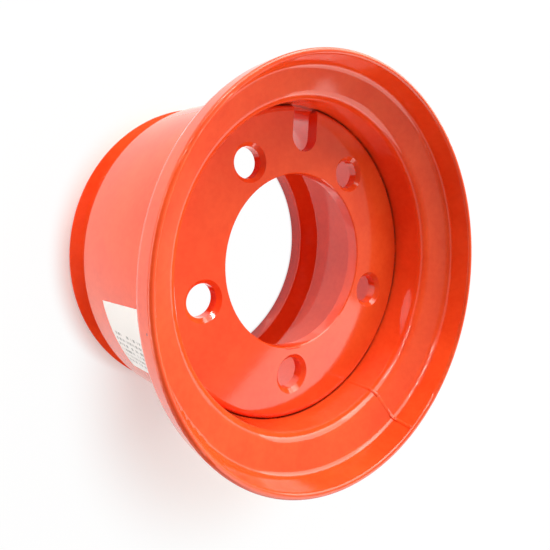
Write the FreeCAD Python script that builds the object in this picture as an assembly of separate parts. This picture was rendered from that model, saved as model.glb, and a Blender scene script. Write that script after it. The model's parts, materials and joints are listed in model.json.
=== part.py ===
import FreeCAD, Part

import os
from math import acos, atan2, cos, hypot, pi, radians, sin, tan

from FreeCAD import Vector

# Painted steel wheel rim for an industrial truck. Millimetres and degrees.
# The wheel axis is Z. The hub seats on the disc's rear face, at Z = 0, and the dished front faces +Z.

# Fixed flange and its curled lip, at the front
flange_diameter = 296.0
flange_wall = 6.0
flange_back = 35.0
flange_slope = 20.0
curl_radius = 12.0
lip_top = 65.0
lip_edge = 4.5
lip_flare = 3.0

# Bead seat and the barrel under it
seat_diameter = 254.0
seat_length = 123.0
seat_fillet = 6.0
barrel_wall = 10.0
mouth_round = 9.0

# Gutter groove and its lip, at the rear
gutter_length = 35.0
gutter_lip_diameter = 253.6
gutter_lip_land = 2.5
gutter_bottom_diameter = 224.0
gutter_round = 7.5
gutter_wall = 5.5
gutter_step_round = 9.0
gutter_step_fillet = 3.0
gutter_edge_break = 1.2

# Disc that carries the hub
disc_wall = 10.0
disc_fit = 0.1
disc_edge_round = 5.0
bore_diameter = 130.0
bore_break = 0.75

# Bolt holes, the first one opposite the valve slot
bolt_circle = 170.0
bolt_count = 5
bolt_hole = 23.0
bolt_seat = 29.0
bolt_seat_angle = 90.0
bolt_seat_land = 1.0

# Valve slot, open at the disc's edge
slot_width = 24.0
slot_bottom = 82.0

# Weld behind the disc, in a bevel of the disc's edge and up the barrel, broken at the valve slot
weld_bevel = 4.0
weld_leg = 5.0
weld_gap = 5.0

# Paper label on the bead seat
label_thickness = 0.2
label_glue = 0.1
label_width = 65.0
label_height = 54.0
label_tilt = 4.0
label_angle = 206.7
label_setback = 25.0

AXIS = Vector(0, 0, 1)
CENTRE = Vector(0, 0, 0)

seat_radius = seat_diameter / 2
barrel_inside = seat_radius - barrel_wall
disc_outside = barrel_inside - disc_fit
seat_end = flange_back - seat_length
rear_end = seat_end - gutter_length


def at(radius, height):
    """A point of a section that is revolved about the wheel axis."""
    return Vector(radius, 0, height)


def toward(centre, radius, angle):
    """The point of a circle in the section at an angle, in radians from the outward direction to +Z."""
    return at(centre.x + radius * cos(angle), centre.z + radius * sin(angle))


def reach(point, angle):
    """How far a point of the section lies along a direction, given by its angle."""
    return point.x * cos(angle) + point.z * sin(angle)


def meet(first_angle, first_reach, second_angle, second_reach):
    """The point of the section that lies this far along two directions."""
    turn = sin(second_angle - first_angle)
    radius = (first_reach * sin(second_angle) - second_reach * sin(first_angle)) / turn
    height = (second_reach * cos(first_angle) - first_reach * cos(second_angle)) / turn
    return at(radius, height)


def line(start, end):
    return Part.LineSegment(start, end).toShape()


def arc(centre, radius, start_angle, end_angle):
    middle = toward(centre, radius, (start_angle + end_angle) / 2)
    start = toward(centre, radius, start_angle)
    end = toward(centre, radius, end_angle)
    return Part.Arc(start, middle, end).toShape()


def closed_outline(curves):
    """Join arcs and points in turn with straight lines, and close the outline."""
    edges = []
    first = last = None
    for curve in curves:
        start = curve if isinstance(curve, Vector) else curve.valueAt(curve.FirstParameter)
        end = curve if isinstance(curve, Vector) else curve.valueAt(curve.LastParameter)
        if last is not None and last.distanceToPoint(start) > Part.Precision.confusion():
            edges.append(line(last, start))
        if not isinstance(curve, Vector):
            edges.append(curve)
        first = start if first is None else first
        last = end
    edges.append(line(last, first))
    return Part.Wire(edges)


def revolved(curves):
    return Part.Face(closed_outline(curves)).revolve(CENTRE, AXIS, 360)


def make_rim_base():
    # Both faces of the flange rise outwards from the seat, and lie this far along their forward normal
    outward = 0
    flange_normal = pi / 2 + radians(flange_slope)
    back_reach = reach(at(seat_radius, flange_back), flange_normal)
    front_reach = back_reach + flange_wall
    mouth = meet(outward, barrel_inside + mouth_round, flange_normal, front_reach - mouth_round)
    heel = meet(outward, seat_radius + seat_fillet, flange_normal, back_reach - seat_fillet)

    # The curl is tangent to the flange and to both faces of the lip, whose edge is round
    flare = radians(lip_flare)
    edge_round = lip_edge / 2
    edge = at(flange_diameter / 2 - edge_round, lip_top - edge_round)
    lip_reach = reach(edge, -flare) + edge_round
    curl = meet(-flare, lip_reach - curl_radius, flange_normal, back_reach + curl_radius)
    inner_curl = curl_radius - flange_wall
    run = edge.x - curl.x
    rise = edge.z - curl.z
    inner_flare = acos((inner_curl + edge_round) / hypot(run, rise)) - atan2(rise, run)

    # The gutter's front wall runs from the seat's end, tangent to the groove's round
    seat_corner = at(seat_radius, seat_end)
    groove = at(gutter_bottom_diameter / 2 + gutter_round, rear_end + gutter_lip_land + gutter_round)
    across = hypot(seat_corner.x - groove.x, seat_corner.z - groove.z)
    lean = atan2(seat_corner.z - groove.z, seat_corner.x - groove.x) + acos(gutter_round / across)

    # The wall is even round the groove, so the inside steps in beside the gutter's front wall
    lip_radius = gutter_lip_diameter / 2
    land_radius = gutter_bottom_diameter / 2 - gutter_wall
    step_reach = reach(seat_corner, lean) + gutter_wall
    crest = meet(outward, land_radius + gutter_step_round, lean, step_reach - gutter_step_round)
    valley = meet(outward, barrel_inside - gutter_step_fillet, lean, step_reach + gutter_step_fillet)
    return revolved([
        arc(mouth, mouth_round, pi, flange_normal),
        arc(curl, inner_curl, flange_normal - pi, -inner_flare),
        arc(edge, edge_round, pi - inner_flare, -flare),
        arc(curl, curl_radius, -flare, flange_normal - pi),
        arc(heel, seat_fillet, flange_normal, pi),
        seat_corner,
        arc(groove, gutter_round, lean, 3 * pi / 2),
        at(lip_radius, rear_end + gutter_lip_land),
        at(lip_radius, rear_end + gutter_edge_break),
        at(lip_radius - gutter_edge_break, rear_end),
        at(land_radius + gutter_edge_break, rear_end),
        at(land_radius, rear_end + gutter_edge_break),
        arc(crest, gutter_step_round, pi, lean),
        arc(valley, gutter_step_fillet, lean - pi, 0),
    ])


def make_bolt_hole():
    """One through hole with its conical nut seat, opposite the valve slot."""
    depth = (bolt_seat - bolt_hole) / 2 / tan(radians(bolt_seat_angle / 2))
    place = Vector(0, -bolt_circle / 2, 0)
    hole = Part.makeCylinder(bolt_hole / 2, disc_wall, place, AXIS)
    seat_place = place + Vector(0, 0, disc_wall - depth)
    return hole.fuse(Part.makeCone(bolt_hole / 2, bolt_seat / 2, depth, seat_place, AXIS))


def make_valve_slot(margin, bottom, top):
    """A slot with a round bottom, open beyond the disc's edge and widened by a margin all round."""
    half_width = slot_width / 2 + margin
    round_centre = Vector(0, slot_bottom + slot_width / 2, bottom)
    height = top - bottom
    slot = Part.makeCylinder(half_width, height, round_centre, AXIS)
    corner = round_centre - Vector(half_width, 0, 0)
    return slot.fuse(Part.makeBox(2 * half_width, seat_radius - round_centre.y, height, corner))


def make_wheel_disc():
    # The front edge's round stops short of the nut seats
    bore = bore_diameter / 2
    edge_round = min(disc_edge_round, disc_outside - (bolt_circle + bolt_seat) / 2 - bolt_seat_land)
    edge = at(disc_outside - edge_round, disc_wall - edge_round)
    disc = revolved([
        at(bore, 0),
        at(disc_outside - weld_bevel, 0),
        at(disc_outside, weld_bevel),
        arc(edge, edge_round, 0, pi / 2),
        at(bore + bore_break, disc_wall),
        at(bore, disc_wall - bore_break),
    ])
    hole = make_bolt_hole()
    for number in range(bolt_count):
        turned = hole.copy()
        turned.rotate(CENTRE, AXIS, number * 360 / bolt_count)
        disc = disc.cut(turned)
    return disc.cut(make_valve_slot(0, 0, disc_wall))


def make_disc_weld():
    ring = revolved([
        at(disc_outside - weld_bevel, 0),
        at(barrel_inside, -weld_leg),
        at(barrel_inside, weld_bevel),
        at(disc_outside, weld_bevel),
    ])
    return ring.cut(make_valve_slot(weld_gap, -weld_leg, weld_bevel))


def make_label():
    """A sheet stuck on slightly askew: a thin sleeve round the seat, cut by a tilted block."""
    middle = flange_back - label_setback - label_width / 2
    foot = Vector(0, 0, seat_end)
    inside = seat_radius + label_glue
    sleeve = Part.makeCylinder(inside + label_thickness, seat_length, foot, AXIS)
    sleeve = sleeve.cut(Part.makeCylinder(inside, seat_length, foot, AXIS))
    corner = Vector(0, -label_height / 2, middle - label_width / 2)
    sheet = Part.makeBox(seat_diameter, label_height, label_width, corner)
    sheet.rotate(Vector(0, 0, middle), Vector(1, 0, 0), label_tilt)
    sheet.rotate(CENTRE, AXIS, label_angle)
    return sleeve.common(sheet)


pieces = {
    "rim_base": make_rim_base(),
    "wheel_disc": make_wheel_disc(),
    "disc_weld": make_disc_weld(),
    "label": make_label(),
}
os.makedirs("parts", exist_ok=True)
for name, shape in pieces.items():
    solid = shape.removeSplitter()
    solid.exportStep("parts/" + name + ".step")
    print(name, len(solid.Solids), solid.isValid(), round(solid.Volume), solid.BoundBox)
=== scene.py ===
import json
from math import atan2, cos, pi, radians, sin

import bpy
from mathutils import Matrix, Vector


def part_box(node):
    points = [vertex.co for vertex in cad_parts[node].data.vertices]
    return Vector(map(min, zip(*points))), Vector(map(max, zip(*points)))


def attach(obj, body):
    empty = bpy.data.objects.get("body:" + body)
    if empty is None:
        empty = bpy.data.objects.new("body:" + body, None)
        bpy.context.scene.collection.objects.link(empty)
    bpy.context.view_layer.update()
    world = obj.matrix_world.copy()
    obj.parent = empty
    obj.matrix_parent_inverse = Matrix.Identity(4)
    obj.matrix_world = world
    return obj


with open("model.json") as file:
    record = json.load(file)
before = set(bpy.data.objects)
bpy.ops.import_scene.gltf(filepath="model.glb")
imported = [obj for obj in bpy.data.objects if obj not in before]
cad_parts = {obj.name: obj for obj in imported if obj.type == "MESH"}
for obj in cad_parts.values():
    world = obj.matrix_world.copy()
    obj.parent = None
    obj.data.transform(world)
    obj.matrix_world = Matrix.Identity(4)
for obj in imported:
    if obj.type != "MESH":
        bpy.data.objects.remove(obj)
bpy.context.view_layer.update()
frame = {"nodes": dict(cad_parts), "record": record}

# The wheel rim stands on its rear end: its axis is Z and the dished front faces up.
# Metres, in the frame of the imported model. Colours are linear, and noise scales are in cells per metre.

MILLIMETRE = 0.001
mounts = {mount["name"]: mount for mount in frame["record"]["mounts"]}
bore_radius = mounts["hub_bore"]["dims"]["r_mm"] * MILLIMETRE
seat_radius = mounts["tyre_seat"]["dims"]["r_mm"] * MILLIMETRE
rim_low, rim_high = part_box("rim_base")
disc_low, disc_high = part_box("wheel_disc")
weld_low, weld_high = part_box("disc_weld")
label_low, label_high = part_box("label")
disc_radius = disc_high.x
barrel_radius = weld_high.x
weld_leg = -weld_low.z
label_middle = (label_low + label_high) / 2

# Enamel with patches of thin cover, a fine grain, orange peel and long waves
PAINT_COLOUR = (0.84, 0.070, 0.013, 1)
PAINT_THIN_COLOUR = (0.92, 0.100, 0.021, 1)
COVER_SCALE = 22.0
COVER_RANGE = (0.35, 0.65)
COVER_SHARE = 0.65
GRAIN_SCALE = 240.0
GRAIN_RANGE = (0.3, 0.7)
GRAIN_SHARE = 0.35
PEEL_SCALE = 520.0
PEEL_SHARE = 0.35
WAVE_SCALE = 55.0
COAT_BUMP = 0.05
COAT_RELIEF = 0.6 * MILLIMETRE
COAT_IOR = 1.5
GLOSS_SCALE = 35.0
GLOSS_ROUGHNESS = 0.05
GLOSS_SPREAD = 0.06
WORN_ROUGHNESS = 0.4

# Painted shade in the joint round the disc, from inside the disc's edge to the barrel and up to the disc's
# front
JOINT_SHADE_COLOUR = (0.20, 0.013, 0.007, 1)
JOINT_SHADE_SCALE = 90.0
JOINT_SHADE_RANGE = (0.25, 0.6)
JOINT_SHADE_SHARE = 0.75
JOINT_SHADE_INSIDE = 2.4 * MILLIMETRE
JOINT_SHADE_OUTSIDE = 0.6 * MILLIMETRE
JOINT_SHADE_FADE = 0.9 * MILLIMETRE
JOINT_SHADE_BELOW_FRONT = 1.6 * MILLIMETRE
JOINT_SHADE_HEIGHT_FADE = 1.2 * MILLIMETRE

# Chips in the paint of the lip, each with its place and its size
CHIP_COLOUR = (0.055, 0.022, 0.016, 1)
CHIP_RAGGED_SCALE = 900.0
CHIP_CORE = 0.9
CHIP_EDGE = 1.2
CHIP_DEPTH = 0.5
LIP_CHIPS = (
    ((-0.1422, -0.0209, 0.0640), 0.0011),
    ((-0.1447, -0.0308, 0.0592), 0.0013),
)

# Label paper and its print. Rows and dashes are placed from the middle of the label, and each row's top,
# bottom and fade are shares of the pitch.
PAPER_COLOUR = (0.93, 0.93, 0.92, 1)
PAPER_FIBRE_COLOUR = (0.87, 0.87, 0.86, 1)
FIBRE_SCALE = 900.0
PAPER_BUMP = 0.15
PAPER_RELIEF = 0.1 * MILLIMETRE
PAPER_ROUGHNESS = 0.45
PAPER_SPREAD = 0.15
PRINT_COLOUR = (0.30, 0.31, 0.31, 1)
PRINT_SHARE = 0.85
ROW_PITCH = 4.6 * MILLIMETRE
ROW_TOP = 0.30
ROW_BOTTOM = 0.80
ROW_FADE = 0.05
ROWS_TOP = -4 * MILLIMETRE
ROWS_BOTTOM = 23 * MILLIMETRE
ROWS_FADE = 0.5 * MILLIMETRE
DASH_SCALE = 420
DASH_ROW_JUMP = 7.3
DASH_RANGE = (0.47, 0.52)
DASHES_START = -29 * MILLIMETRE
DASHES_END = 22 * MILLIMETRE
DASHES_FADE = 1 * MILLIMETRE

# Butt weld that closes the rolled ring, with lumps between pairs of heights
SEAM_ANGLE = radians(-58.2)
SEAM_WIDTH = 3.6 * MILLIMETRE
SEAM_HEIGHT = 0.3 * MILLIMETRE
SEAM_SHOULDER = 0.55
SEAM_CROWN = 0.6
SEAM_LANE_NEAR = 0.1
SEAM_LUMP = 0.6 * MILLIMETRE
SEAM_LUMPS = ((0.0320, 0.0395), (0.0455, 0.0510), (0.0590, 0.0640))
SEAM_SINK = 0.06 * MILLIMETRE
SEAM_BODY = 0.5 * MILLIMETRE
SEAM_RAGGED = 0.12 * MILLIMETRE
SEAM_ABOVE_FOOT = 6 * MILLIMETRE
SEAM_BELOW_LIP = 1.5 * MILLIMETRE
SEAM_MERGE = 0.01 * MILLIMETRE

# How far a face of the ring has to lean to count as its outside, its top or its underside
FACES_OUT = 0.05
FACES_UP = 0.8
FACES_DOWN = -0.5

# Ripples of the weld behind the disc, left out round the valve slot
RIPPLE_PITCH = 2.4 * MILLIMETRE
RIPPLE_GAP = radians(20)
RIPPLE_SIZE = (2.9 * MILLIMETRE, 2.1 * MILLIMETRE, 0.8 * MILLIMETRE)
RIPPLE_SINK = 0.3 * MILLIMETRE

# Run of paint on the lower edge of the hub bore
SAG_START = radians(-97)
SAG_END = radians(-83)
SAG_ROUND = 0.95 * MILLIMETRE
SAG_STEPS = 16
SAG_TIP = 0.3
SAG_TIP_REACH = 1.3
SAG_UNEVEN = 0.35
SAG_MERGE = 0.001 * MILLIMETRE

SMOOTH_ANGLE = radians(50)

# Camera, worked out from the circles of the rim in the photograph
IMAGE_SIDE = 550
FOCAL_PIXELS = 542.92
AXIS_PIXEL_Y = 185.0
CAMERA_PLACE = Vector((-0.273204, 0.037620, 0.318232))
CAMERA_RIGHT = Vector((0.77777214, 0.05603049, 0.62604400))
CAMERA_UP = Vector((-0.07049118, 0.99751095, -0.00170109))
CAMERA_NEAR = 0.01

# Floor, with the share of plain white that the camera sees in the rim's shadow and clear of it
FLOOR_SIDE = 8.0
FLOOR_COLOUR = (0.92, 0.92, 0.92, 1)
SHADOW_WHITE = 0.22
CLEAR_WHITE = 0.97
SHADOW_MIDDLE = (0.06, -0.12, 0)
SHADOW_NEAR = 0.11
SHADOW_FAR = 0.19
FOOT_SHADOW = 0.018
HOLLOW_EDGE = 0.012
HOLLOW_FADE = 0.006

# Room light by direction: east is +X, and heights are sines of the angle above the floor
EAST_LEVEL = 0.54
WEST_LEVEL = 0.13
EAST_RANGE = (-0.5, 0.5)
HORIZON_LEVEL = 1.3
HORIZON_LOW = 0.06
HORIZON_HIGH = 0.34
HORIZON_FADE = 0.08
HORIZON_EAST_RANGE = (-0.2, 0.4)
WALL_TOP_RANGE = (0.3, 0.5)
ROOM_COLOUR = (1, 1, 1, 1)
LAMP_COLOUR = (1.0, 0.95, 0.89)
HOLLOW_LAMP_HEIGHT = 0.004


class Value:
    """Wraps an output socket, so that shader maths reads as Python expressions."""

    def __init__(self, socket):
        self.socket = socket
        self.tree = socket.id_data

    @classmethod
    def node(cls, tree, kind, settings=(), sockets=(), output=0):
        """Add any node: its settings come first, then the values or links of its sockets."""
        made = tree.nodes.new(kind)
        for name, setting in dict(settings).items():
            setattr(made, name, setting)
        for name, value in dict(sockets).items():
            if isinstance(value, Value):
                tree.links.new(value.socket, made.inputs[name])
            else:
                made.inputs[name].default_value = value
        return cls(made.outputs[output]) if made.outputs else None

    def maths(self, operation, *values):
        return Value.node(self.tree, "ShaderNodeMath", {"operation": operation}, dict(enumerate(values)))

    def __add__(self, other):
        return self.maths("ADD", self, other)

    __radd__ = __add__

    def __sub__(self, other):
        return self.maths("SUBTRACT", self, other)

    def __rsub__(self, other):
        return self.maths("SUBTRACT", other, self)

    def __mul__(self, other):
        return self.maths("MULTIPLY", self, other)

    __rmul__ = __mul__

    def __truediv__(self, other):
        return self.maths("DIVIDE", self, other)

    def __rtruediv__(self, other):
        return self.maths("DIVIDE", other, self)

    def __pow__(self, other):
        return self.maths("POWER", self, other)

    def floor(self):
        return self.maths("FLOOR", self)

    def fraction(self):
        return self.maths("FRACT", self)

    def greater(self, other):
        return self.maths("MAXIMUM", self, other)

    def lesser(self, other):
        return self.maths("MINIMUM", self, other)

    def step(self, low, high):
        """0 below low, 1 above high and a smooth rise between them."""
        settings = {"interpolation_type": "SMOOTHSTEP"}
        sockets = {"Value": self, "From Min": low, "From Max": high}
        return Value.node(self.tree, "ShaderNodeMapRange", settings, sockets)

    def band(self, low, high, soft):
        """1 between low and high, with soft sides."""
        return self.step(low - soft, low + soft) * (1 - self.step(high - soft, high + soft))


def mixed(factor, first, second):
    """A colour between two colours."""
    sockets = {"Factor": factor, 6: first, 7: second}
    settings = {"data_type": "RGBA"}
    return Value.node(factor.tree, "ShaderNodeMix", settings, sockets, output=2)


def noise(place, scale, detail=2.0):
    sockets = {"Vector": place, "Scale": scale, "Detail": detail}
    return Value.node(place.tree, "ShaderNodeTexNoise", (), sockets)


def part_of(vector, axis):
    """One of the three numbers of a vector."""
    return Value.node(vector.tree, "ShaderNodeSeparateXYZ", (), {0: vector}, output=axis)


def distance(place, spot):
    settings = {"operation": "DISTANCE"}
    return Value.node(place.tree, "ShaderNodeVectorMath", settings, {0: place, 1: spot}, output="Value")


def axis_distance(place):
    """How far a point lies from the wheel axis."""
    x = part_of(place, "X")
    y = part_of(place, "Y")
    return (x * x + y * y) ** 0.5


def new_material(name):
    material = bpy.data.materials.new(name)
    material.use_nodes = True
    material.node_tree.nodes.clear()
    return material


def object_place(tree):
    """The point on a piece, in its own frame."""
    return Value.node(tree, "ShaderNodeTexCoord", output="Object")


def close_surface(tree, shader):
    Value.node(tree, "ShaderNodeOutputMaterial", (), {"Surface": shader})


def near_spot(place, spot, size):
    """1 on a small ragged spot."""
    ragged = distance(place, spot) + noise(place, CHIP_RAGGED_SCALE) * size
    return 1 - ragged.step(size * CHIP_CORE, size * CHIP_EDGE)


def joint_shade(place):
    """1 where shade is painted into the joint between the disc and the barrel."""
    joint = axis_distance(place).band(disc_radius - JOINT_SHADE_INSIDE, barrel_radius + JOINT_SHADE_OUTSIDE, JOINT_SHADE_FADE)
    height = part_of(place, "Z").band(disc_low.z, disc_high.z - JOINT_SHADE_BELOW_FRONT, JOINT_SHADE_HEIGHT_FADE)
    return joint * height * noise(place, JOINT_SHADE_SCALE, detail=4.0).step(*JOINT_SHADE_RANGE)


def gloss_paint():
    """Sprayed gloss enamel: orange peel, uneven cover, painted shade in the joint and chips on the lip."""
    material = new_material("orange_red_enamel")
    tree = material.node_tree
    place = object_place(tree)
    cover = noise(place, COVER_SCALE, detail=4.0).step(*COVER_RANGE)
    grain = noise(place, GRAIN_SCALE, detail=3.0).step(*GRAIN_RANGE)
    colour = mixed(cover * COVER_SHARE + grain * GRAIN_SHARE, PAINT_COLOUR, PAINT_THIN_COLOUR)
    # Painted shade: the colour is darkened in the joint between the disc and the barrel, and that joint is
    # also made rougher
    joint_shade_mask = joint_shade(place)
    colour = mixed(joint_shade_mask * JOINT_SHADE_SHARE, colour, JOINT_SHADE_COLOUR)
    chips = sum(near_spot(place, spot, size) for spot, size in LIP_CHIPS)
    colour = mixed(chips, colour, CHIP_COLOUR)
    peel = noise(place, PEEL_SCALE, detail=1.0)
    waves = noise(place, WAVE_SCALE, detail=1.0)
    bump = Value.node(tree, "ShaderNodeBump", (), {
        "Strength": COAT_BUMP,
        "Distance": COAT_RELIEF,
        "Height": peel * PEEL_SHARE + waves - chips * CHIP_DEPTH,
    })
    gloss = GLOSS_ROUGHNESS + GLOSS_SPREAD * noise(place, GLOSS_SCALE)
    shader = Value.node(tree, "ShaderNodeBsdfPrincipled", (), {
        "Base Color": colour,
        "Roughness": gloss + WORN_ROUGHNESS * joint_shade_mask.greater(chips),
        "IOR": COAT_IOR,
        "Normal": bump,
    })
    close_surface(tree, shader)
    return material


def label_paper():
    """White sticker paper with rows of plain grey dashes on its lower half."""
    material = new_material("white_label_paper")
    tree = material.node_tree
    place = object_place(tree)
    turn = atan2(label_middle.y, label_middle.x)
    settings = {"vector_type": "POINT"}
    sockets = {"Vector": place, "Rotation": (0, 0, -turn)}
    turned = Value.node(tree, "ShaderNodeMapping", settings, sockets)
    down = part_of(turned, "Y")
    along = part_of(turned, "Z") - label_middle.z
    row = down / ROW_PITCH
    rows = row.fraction().band(ROW_TOP, ROW_BOTTOM, ROW_FADE) * down.band(ROWS_TOP, ROWS_BOTTOM, ROWS_FADE)
    sockets = {0: along * DASH_SCALE, 1: row.floor() * DASH_ROW_JUMP}
    cell = Value.node(tree, "ShaderNodeCombineXYZ", (), sockets)
    dashes = noise(cell, scale=1.0, detail=1.0).step(*DASH_RANGE)
    dashes = dashes * along.band(DASHES_START, DASHES_END, DASHES_FADE)
    fibres = noise(place, FIBRE_SCALE, detail=4.0)
    paper = mixed(fibres, PAPER_COLOUR, PAPER_FIBRE_COLOUR)
    sockets = {"Strength": PAPER_BUMP, "Distance": PAPER_RELIEF, "Height": fibres}
    bump = Value.node(tree, "ShaderNodeBump", (), sockets)
    shader = Value.node(tree, "ShaderNodeBsdfPrincipled", (), {
        "Base Color": mixed(rows * dashes * PRINT_SHARE, paper, PRINT_COLOUR),
        "Roughness": PAPER_ROUGHNESS + PAPER_SPREAD * fibres,
        "Normal": bump,
    })
    close_surface(tree, shader)
    return material


def seen_ray(tree):
    """1 for what the camera sees, itself or in a gloss or through glass."""
    camera = Value.node(tree, "ShaderNodeLightPath", output="Is Camera Ray")
    glossy = Value.node(tree, "ShaderNodeLightPath", output="Is Glossy Ray")
    through = Value.node(tree, "ShaderNodeLightPath", output="Is Transmission Ray")
    return (camera + glossy + through).lesser(1.0)


def white_floor():
    """White paper that the camera sees as plain white, but for the shadow beside the rim and at its foot."""
    material = new_material("white_floor_paper")
    tree = material.node_tree
    place = object_place(tree)
    radius = axis_distance(place)
    hollow = disc_radius - HOLLOW_EDGE
    inside = 1 - radius.step(hollow, hollow + HOLLOW_FADE)
    away = distance(place, SHADOW_MIDDLE).step(SHADOW_NEAR, SHADOW_FAR)
    clear = away.lesser(radius.step(seat_radius, seat_radius + FOOT_SHADOW))
    around = SHADOW_WHITE + (CLEAR_WHITE - SHADOW_WHITE) * clear
    share = seen_ray(tree) * inside.greater(around)
    paper = Value.node(tree, "ShaderNodeBsdfDiffuse", (), {"Color": FLOOR_COLOUR})
    white = Value.node(tree, "ShaderNodeEmission", (), {"Strength": 1.0})
    close_surface(tree, Value.node(tree, "ShaderNodeMixShader", (), {0: share, 1: paper, 2: white}))
    return material


def select_only(piece):
    bpy.ops.object.select_all(action="DESELECT")
    piece.select_set(True)
    bpy.context.view_layer.objects.active = piece


def pick(piece, kind, wanted):
    """In edit mode, select the faces or points that are wanted, and nothing else."""
    bpy.ops.mesh.select_mode(type=kind)
    bpy.ops.mesh.select_all(action="DESELECT")
    bpy.ops.object.mode_set(mode="OBJECT")
    elements = piece.data.polygons if kind == "FACE" else piece.data.vertices
    for element in elements:
        element.select = wanted(element)
    bpy.ops.object.mode_set(mode="EDIT")


def cut(place, normal, keep=None):
    """In edit mode, cut the whole mesh with a plane. Keep both sides, or the one behind or before it."""
    bpy.ops.mesh.select_all(action="SELECT")
    bpy.ops.mesh.bisect(
        plane_co=place, plane_no=normal, clear_outer=keep == "behind", clear_inner=keep == "before")


def set_on_rim(piece, paint):
    """Smooth a finished piece, paint it and let it ride with the rim."""
    bpy.ops.object.mode_set(mode="OBJECT")
    select_only(piece)
    bpy.ops.object.shade_smooth_by_angle(angle=SMOOTH_ANGLE)
    piece.data.materials.clear()
    piece.data.materials.append(paint)
    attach(piece, "root")


def add_seam_ridge(paint):
    """The ground-down butt weld inside the ring: a strip of the rim's own surface, raised in the middle."""
    ridge = bpy.data.objects.new("butt_weld_ridge", frame["nodes"]["rim_base"].data.copy())
    bpy.context.scene.collection.objects.link(ridge)
    select_only(ridge)
    outward = Vector((cos(SEAM_ANGLE), sin(SEAM_ANGLE), 0))
    across = Vector((-sin(SEAM_ANGLE), cos(SEAM_ANGLE), 0))
    half = SEAM_WIDTH / 2
    crown = half * SEAM_CROWN

    def aside(point):
        return abs(point.co.dot(across))

    # A strip of the ring, in four lanes
    bpy.ops.object.mode_set(mode="EDIT")
    bpy.ops.mesh.select_all(action="SELECT")
    bpy.ops.mesh.remove_doubles(threshold=SEAM_MERGE)
    cut((0, 0, 0), outward, "before")
    cut(across * half, across, "behind")
    cut(across * -half, across, "before")
    for share in (-0.5, 0, 0.5):
        cut(across * half * share, across)

    # Only the inside of the ring stays
    pick(ridge, "FACE", lambda face: face.normal.dot(outward) > FACES_OUT and face.normal.z < FACES_UP)
    bpy.ops.mesh.delete(type="FACE")
    low = rim_low.z + SEAM_ABOVE_FOOT
    high = rim_high.z - SEAM_BELOW_LIP
    pick(ridge, "FACE", lambda face: face.normal.z < FACES_DOWN or not low < face.center.z < high)
    bpy.ops.mesh.delete(type="FACE")

    # The lanes rise to the middle line, and the sides sink into the rim
    for share, lift in ((0, SEAM_HEIGHT), (0.5, SEAM_HEIGHT * SEAM_SHOULDER), (1, -SEAM_SINK)):
        pick(ridge, "VERT", lambda point: abs(aside(point) - half * share) < half * SEAM_LANE_NEAR)
        bpy.ops.transform.shrink_fatten(value=lift)
    for bottom, top in SEAM_LUMPS:
        pick(ridge, "VERT", lambda point: aside(point) < crown and bottom < point.co.z < top)
        bpy.ops.transform.shrink_fatten(value=SEAM_LUMP)
    pick(ridge, "VERT", lambda point: aside(point) < crown)
    bpy.ops.transform.vertex_random(offset=SEAM_RAGGED, normal=1.0, seed=4)
    bpy.ops.object.mode_set(mode="OBJECT")
    body = ridge.modifiers.new("body", "SOLIDIFY")
    body.thickness = SEAM_BODY
    body.offset = -1
    bpy.ops.object.modifier_apply(modifier=body.name)
    set_on_rim(ridge, paint)


def add_weld_ripples(paint):
    """The scaly face of the weld behind the disc: one flat scale, repeated round the weld."""
    foot_radius = (disc_radius - weld_leg + barrel_radius) / 2
    run = 2 * pi - 2 * RIPPLE_GAP
    start = pi / 2 + RIPPLE_GAP
    place = Vector((foot_radius, 0, -weld_leg / 2))
    bpy.ops.object.select_all(action="DESELECT")
    bpy.ops.mesh.primitive_uv_sphere_add(segments=10, ring_count=6, radius=1)
    scales = bpy.context.object
    scales.name = "weld_ripples"
    bpy.ops.object.mode_set(mode="EDIT")
    bpy.ops.mesh.select_all(action="SELECT")
    bpy.ops.transform.resize(value=RIPPLE_SIZE)
    cut((0, 0, -RIPPLE_SINK), (0, 0, 1), "before")
    bpy.ops.mesh.select_all(action="DESELECT")
    bpy.ops.mesh.select_non_manifold()
    bpy.ops.mesh.edge_face_add()
    bpy.ops.object.mode_set(mode="OBJECT")
    lean = atan2(weld_leg, 2 * (barrel_radius - foot_radius))
    scales.data.transform(Matrix.Rotation(pi, 4, "X"))
    scales.data.transform(Matrix.Rotation(lean, 4, "Y"))
    scales.data.transform(Matrix.Translation(place))
    scales.data.transform(Matrix.Rotation(start, 4, "Z"))
    turn = bpy.data.objects.new("ripple_turn", None)
    bpy.context.scene.collection.objects.link(turn)
    count = int(run * foot_radius / RIPPLE_PITCH)
    turn.rotation_euler.z = run / count
    row = scales.modifiers.new("row", "ARRAY")
    row.use_relative_offset = False
    row.use_object_offset = True
    row.offset_object = turn
    row.count = count + 1
    bpy.context.view_layer.update()
    bpy.ops.object.modifier_apply(modifier=row.name)
    bpy.data.objects.remove(turn)
    set_on_rim(scales, paint)


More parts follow.
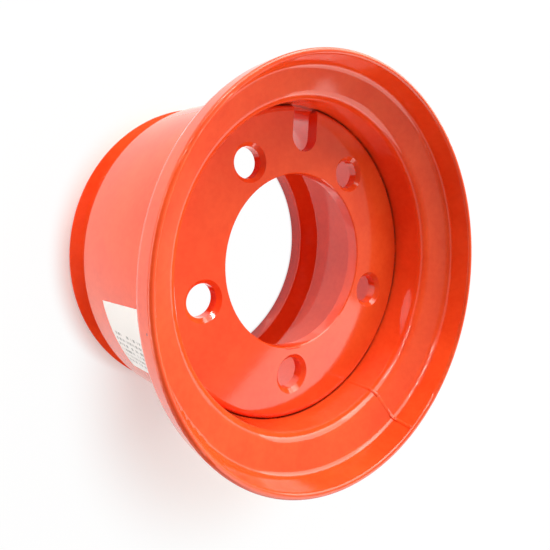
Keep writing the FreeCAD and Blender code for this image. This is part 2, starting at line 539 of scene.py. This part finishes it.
def add_paint_sag(paint):
    """Where the wet paint ran down the disc and stopped at the lower edge of the bore."""
    bpy.ops.object.select_all(action="DESELECT")
    place = (bore_radius + SAG_ROUND, 0, disc_high.z - SAG_ROUND / 2)
    bpy.ops.mesh.primitive_circle_add(
        vertices=10, radius=SAG_ROUND, fill_type="NGON", location=place, rotation=(pi / 2, 0, 0))
    sag = bpy.context.object
    sag.name = "paint_sag"
    bpy.ops.object.transform_apply(location=True, rotation=True, scale=True)
    sag.data.transform(Matrix.Rotation(SAG_START, 4, "Z"))
    bpy.ops.object.mode_set(mode="EDIT")
    bpy.ops.mesh.select_all(action="SELECT")
    bpy.ops.mesh.spin(steps=SAG_STEPS, angle=SAG_END - SAG_START, center=(0, 0, 0), axis=(0, 0, -1))
    for end in (SAG_START, SAG_END):
        tip = Matrix.Rotation(end, 4, "Z") @ Vector(place)
        pick(sag, "VERT", lambda point: (point.co - tip).length < SAG_ROUND * SAG_TIP_REACH)
        bpy.ops.transform.resize(value=(SAG_TIP, SAG_TIP, SAG_TIP), center_override=tip)
    bpy.ops.mesh.select_all(action="SELECT")
    bpy.ops.transform.vertex_random(offset=SAG_ROUND * SAG_UNEVEN, seed=2)
    bpy.ops.mesh.remove_doubles(threshold=SAG_MERGE)
    bpy.ops.mesh.normals_make_consistent(inside=False)
    bpy.ops.object.mode_set(mode="OBJECT")
    smooth = sag.modifiers.new("smooth", "SUBSURF")
    smooth.levels = smooth.render_levels = 1
    bpy.ops.object.modifier_apply(modifier=smooth.name)
    set_on_rim(sag, paint)


def add_floor():
    bpy.ops.object.select_all(action="DESELECT")
    bpy.ops.mesh.primitive_plane_add(size=FLOOR_SIDE)
    floor = bpy.context.object
    floor.name = "floor"
    floor.location.z = rim_low.z
    floor.data.materials.append(white_floor())


def add_room():
    """A pale room with white walls, brighter in the east and brightest along the foot of the east wall."""
    world = bpy.data.worlds.new("room")
    bpy.context.scene.world = world
    world.use_nodes = True
    tree = world.node_tree
    tree.nodes.clear()
    direction = Value.node(tree, "ShaderNodeTexCoord", output="Generated")
    east = part_of(direction, "X")
    up = part_of(direction, "Z")
    horizon = up.band(HORIZON_LOW, HORIZON_HIGH, HORIZON_FADE) * east.step(*HORIZON_EAST_RANGE)
    level = WEST_LEVEL + (EAST_LEVEL - WEST_LEVEL) * east.step(*EAST_RANGE) + horizon * HORIZON_LEVEL
    walls = 1 - up.step(*WALL_TOP_RANGE)
    strength = level.greater(seen_ray(tree) * walls)
    back = Value.node(tree, "ShaderNodeBackground", (), {"Color": ROOM_COLOUR, "Strength": strength})
    Value.node(tree, "ShaderNodeOutputWorld", (), {"Surface": back})


def add_panel(name, place, width, depth, power):
    """A flat lamp that faces the origin, in the hub bore, and stays out of the picture."""
    light = bpy.data.lights.new(name, "AREA")
    light.shape = "RECTANGLE"
    light.size = width
    light.size_y = depth
    light.energy = power
    light.color = LAMP_COLOUR
    panel = bpy.data.objects.new(name, light)
    bpy.context.scene.collection.objects.link(panel)
    panel.location = place
    panel.rotation_mode = "QUATERNION"
    panel.rotation_quaternion = (-Vector(place)).to_track_quat("-Z", "Y")
    panel.visible_camera = False


def add_lights():
    """Panels round the rim, and a small lamp on the floor inside the barrel."""
    hollow_place = (0, 0, rim_low.z + HOLLOW_LAMP_HEIGHT)
    add_panel("right_panel", place=(0.70, 0.85, 0.50), width=1.5, depth=0.9, power=15.0)
    add_panel("top_panel", place=(0.05, 1.15, 0.55), width=1.1, depth=0.8, power=9.5)
    add_panel("table_panel", place=(0.546, -0.639, 0.570), width=1.05, depth=0.61, power=4.7)
    add_panel("left_card", place=(-0.62, -0.05, -0.03), width=0.8, depth=0.18, power=1.5)
    add_panel("hollow_lamp", place=hollow_place, width=0.15, depth=0.15, power=0.05)
    add_panel("strip_lamp", place=(-0.52, 0.87, 0.60), width=0.75, depth=0.016, power=4.6)


def add_camera():
    data = bpy.data.cameras.new("camera")
    data.lens = data.sensor_width * FOCAL_PIXELS / IMAGE_SIDE
    data.shift_y = (AXIS_PIXEL_Y - IMAGE_SIDE / 2) / IMAGE_SIDE
    data.clip_start = CAMERA_NEAR
    camera = bpy.data.objects.new("camera", data)
    bpy.context.scene.collection.objects.link(camera)
    turned = Matrix((CAMERA_RIGHT, CAMERA_UP, CAMERA_RIGHT.cross(CAMERA_UP))).transposed()
    camera.matrix_world = Matrix.Translation(CAMERA_PLACE) @ turned.to_4x4()
    bpy.context.scene.camera = camera


def dress(node, material):
    piece = frame["nodes"][node]
    piece.data.materials.clear()
    piece.data.materials.append(material)


enamel = gloss_paint()
for node in ("rim_base", "wheel_disc", "disc_weld"):
    dress(node, enamel)
dress("label", label_paper())
add_seam_ridge(enamel)
add_weld_ripples(enamel)
add_paint_sag(enamel)
add_floor()
add_room()
add_lights()
add_camera()
bpy.context.scene.view_settings.view_transform = "Standard"
